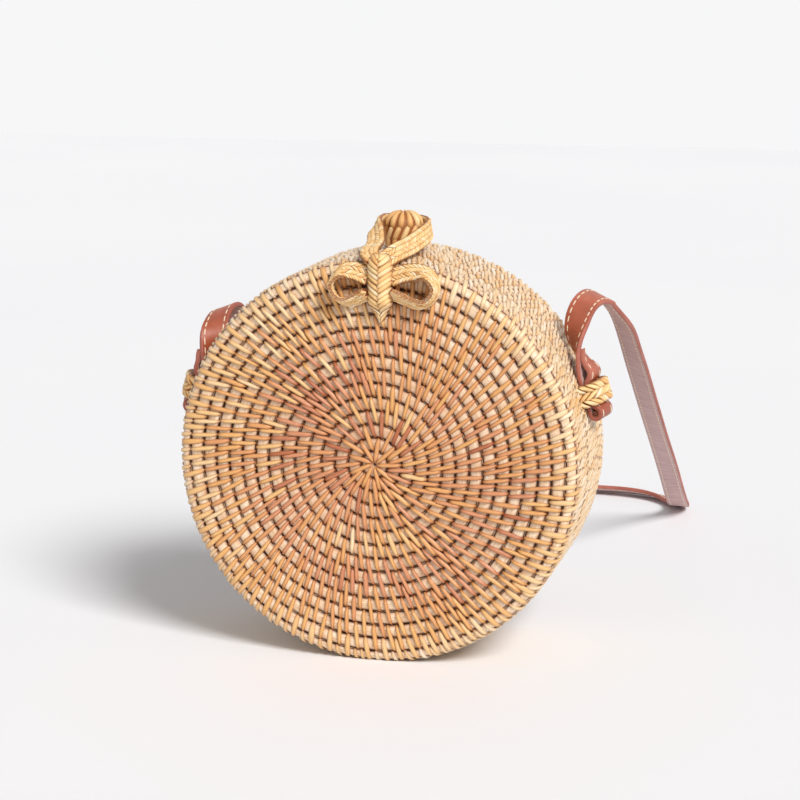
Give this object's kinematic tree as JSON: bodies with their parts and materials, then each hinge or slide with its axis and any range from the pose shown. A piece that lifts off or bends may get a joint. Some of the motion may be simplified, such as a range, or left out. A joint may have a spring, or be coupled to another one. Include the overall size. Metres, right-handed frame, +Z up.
{
  "type": "round woven shoulder bag",
  "caption": "Round coiled-cane bag whose front half opens on lashings under it, with a woven button, a braided bow and loop clasp, and a leather shoulder strap held in side loops.",
  "frame": {"origin": "middle of the flat that the bag stands on, under its centre, at half its depth", "axes": "+X to the right seen from the front, -Y out of the front face, +Z up"},
  "size_m": [0.2267, 0.3999, 0.2193],
  "materials": {
    "cane": "split cane, coiled and stitched, smoked to a warm gold",
    "braid": "flat braided cane ribbon",
    "cord": "twisted natural cord",
    "lining": "plain unbleached cotton",
    "leather": "reddish tan leather with pale stitching"
  },
  "bodies": {
    "rear_half": {"rear_face_panel": "cane", "rear_side_band": "cane", "rear_mouth_hoop": "cane", "rear_lining": "lining", "clasp_button": "cane", "button_cord": "cord", "button_knot": "cord", "hinge_tie_left": "braid", "hinge_tie_right": "braid", "strap_loop_left": "braid", "strap_loop_right": "braid", "strap_loop_bar_left": "cane", "strap_loop_bar_right": "cane", "strap_peg_left": "cane", "strap_peg_right": "cane", "strap_end_left": "leather", "strap_end_right": "leather", "strap_bend_left": "leather", "strap_bend_right": "leather"},
    "front_half": {"front_face_panel": "cane", "front_side_band": "cane", "front_mouth_hoop": "cane", "front_lining": "lining", "bow_knot": "braid", "bow_loop_left": "braid", "bow_loop_right": "braid", "bow_tail": "braid", "bow_cord": "cord", "bow_cord_knot": "cord"},
    "clasp_loop": {"clasp_loop": "braid"},
    "strap": {"strap_main": "leather"}
  },
  "joints": [
    {"name": "lid_hinge", "type": "hinge", "parent": "rear_half", "child": "front_half", "pos_m": [0, -0.012, 0.0006], "axis": [1, 0, 0], "range_deg": [0, 45], "deforming": ["clasp_loop", "hinge_tie_left", "hinge_tie_right"]},
    {"name": "clasp_loop_lift", "type": "hinge", "parent": "front_half", "child": "clasp_loop", "pos_m": [0.004, -0.0398, 0.2037], "axis": [1, 0, 0], "range_deg": [0, 100]},
    {"name": "strap_swing", "type": "hinge", "parent": "rear_half", "child": "strap", "pos_m": [0, 0.00807, 0.1761], "axis": [1, 0, 0], "range_deg": [0, 115], "deforming": ["strap_bend_left", "strap_bend_right"]}
  ]
}
